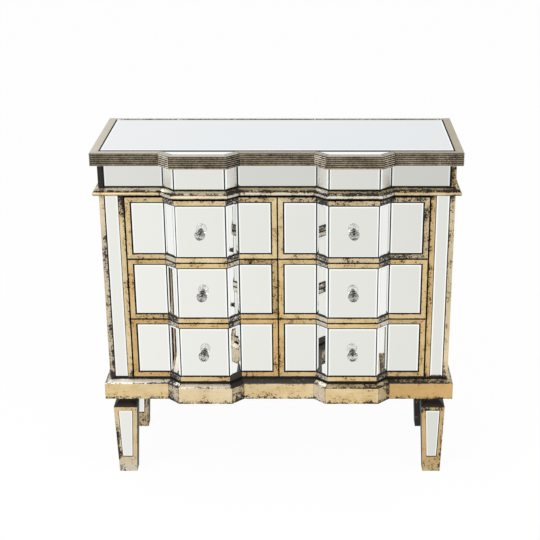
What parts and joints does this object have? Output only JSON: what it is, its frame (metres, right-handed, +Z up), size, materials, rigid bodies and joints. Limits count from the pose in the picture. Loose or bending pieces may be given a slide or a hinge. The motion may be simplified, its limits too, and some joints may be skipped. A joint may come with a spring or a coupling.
{
  "type": "sideboard",
  "caption": "Mirrored breakfront sideboard with gilt mouldings, canted bays, tapered legs and drawers that slide out by cut-glass knobs.",
  "frame": {"origin": "on the floor, under the middle of the bounding box of the closed piece", "axes": "+X to the right of someone who faces the drawers, +Y towards the back, +Z up; the drawers open along -Y"},
  "size_m": [1.004, 0.4336, 0.98],
  "materials": {
    "gilt_wood": "rubbed gold leaf over dark paint, worn at the edges",
    "mirror_glass": "polished, bevelled",
    "dark_wood": "dark paint, satin",
    "raw_wood": "plain sanded wood",
    "bright_metal": "polished",
    "cut_glass": "clear, facet cut"
  },
  "bodies": {
    "carcass": {"top_board": "dark_wood", "top_edge_moulding": "gilt_wood", "top_mirrors": "mirror_glass", "frieze_board": "dark_wood", "frieze_mirrors": "mirror_glass", "bead_moulding": "gilt_wood", "corner_posts": "dark_wood", "case_strips": "gilt_wood", "case_mirrors": "mirror_glass", "side_panels": "raw_wood", "centre_partition": "raw_wood", "back_panel": "raw_wood", "bottom_board": "dark_wood", "cross_rails": "raw_wood", "drawer_runners": "raw_wood", "plinth_moulding": "gilt_wood", "plinth_blocks": "raw_wood", "leg_mirrors": "mirror_glass", "leg_bolts": "bright_metal", "back_screws": "bright_metal", "leg_front_left": "gilt_wood", "leg_front_right": "gilt_wood", "leg_rear_left": "gilt_wood", "leg_rear_right": "gilt_wood"},
    "drawer_bottom_left": {"drawer_bottom_left_board": "dark_wood", "drawer_bottom_left_frame": "gilt_wood", "drawer_bottom_left_mirrors": "mirror_glass", "drawer_bottom_left_box": "raw_wood", "drawer_bottom_left_knob": "cut_glass", "drawer_bottom_left_fittings": "bright_metal"},
    "drawer_bottom_right": {"drawer_bottom_right_board": "dark_wood", "drawer_bottom_right_frame": "gilt_wood", "drawer_bottom_right_mirrors": "mirror_glass", "drawer_bottom_right_box": "raw_wood", "drawer_bottom_right_knob": "cut_glass", "drawer_bottom_right_fittings": "bright_metal"},
    "drawer_middle_left": {"drawer_middle_left_board": "dark_wood", "drawer_middle_left_frame": "gilt_wood", "drawer_middle_left_mirrors": "mirror_glass", "drawer_middle_left_box": "raw_wood", "drawer_middle_left_knob": "cut_glass", "drawer_middle_left_fittings": "bright_metal"},
    "drawer_middle_right": {"drawer_middle_right_board": "dark_wood", "drawer_middle_right_frame": "gilt_wood", "drawer_middle_right_mirrors": "mirror_glass", "drawer_middle_right_box": "raw_wood", "drawer_middle_right_knob": "cut_glass", "drawer_middle_right_fittings": "bright_metal"},
    "drawer_top_left": {"drawer_top_left_board": "dark_wood", "drawer_top_left_frame": "gilt_wood", "drawer_top_left_mirrors": "mirror_glass", "drawer_top_left_box": "raw_wood", "drawer_top_left_knob": "cut_glass", "drawer_top_left_fittings": "bright_metal"},
    "drawer_top_right": {"drawer_top_right_board": "dark_wood", "drawer_top_right_frame": "gilt_wood", "drawer_top_right_mirrors": "mirror_glass", "drawer_top_right_box": "raw_wood", "drawer_top_right_knob": "cut_glass", "drawer_top_right_fittings": "bright_metal"}
  },
  "joints": [
    {"name": "drawer_bottom_left_slide", "type": "slide", "parent": "carcass", "child": "drawer_bottom_left", "axis": [0, -1, 0], "range_m": [0, 0.25]},
    {"name": "drawer_bottom_right_slide", "type": "slide", "parent": "carcass", "child": "drawer_bottom_right", "axis": [0, -1, 0], "range_m": [0, 0.25]},
    {"name": "drawer_middle_left_slide", "type": "slide", "parent": "carcass", "child": "drawer_middle_left", "axis": [0, -1, 0], "range_m": [0, 0.25]},
    {"name": "drawer_middle_right_slide", "type": "slide", "parent": "carcass", "child": "drawer_middle_right", "axis": [0, -1, 0], "range_m": [0, 0.25]},
    {"name": "drawer_top_left_slide", "type": "slide", "parent": "carcass", "child": "drawer_top_left", "axis": [0, -1, 0], "range_m": [0, 0.25]},
    {"name": "drawer_top_right_slide", "type": "slide", "parent": "carcass", "child": "drawer_top_right", "axis": [0, -1, 0], "range_m": [0, 0.25]}
  ]
}
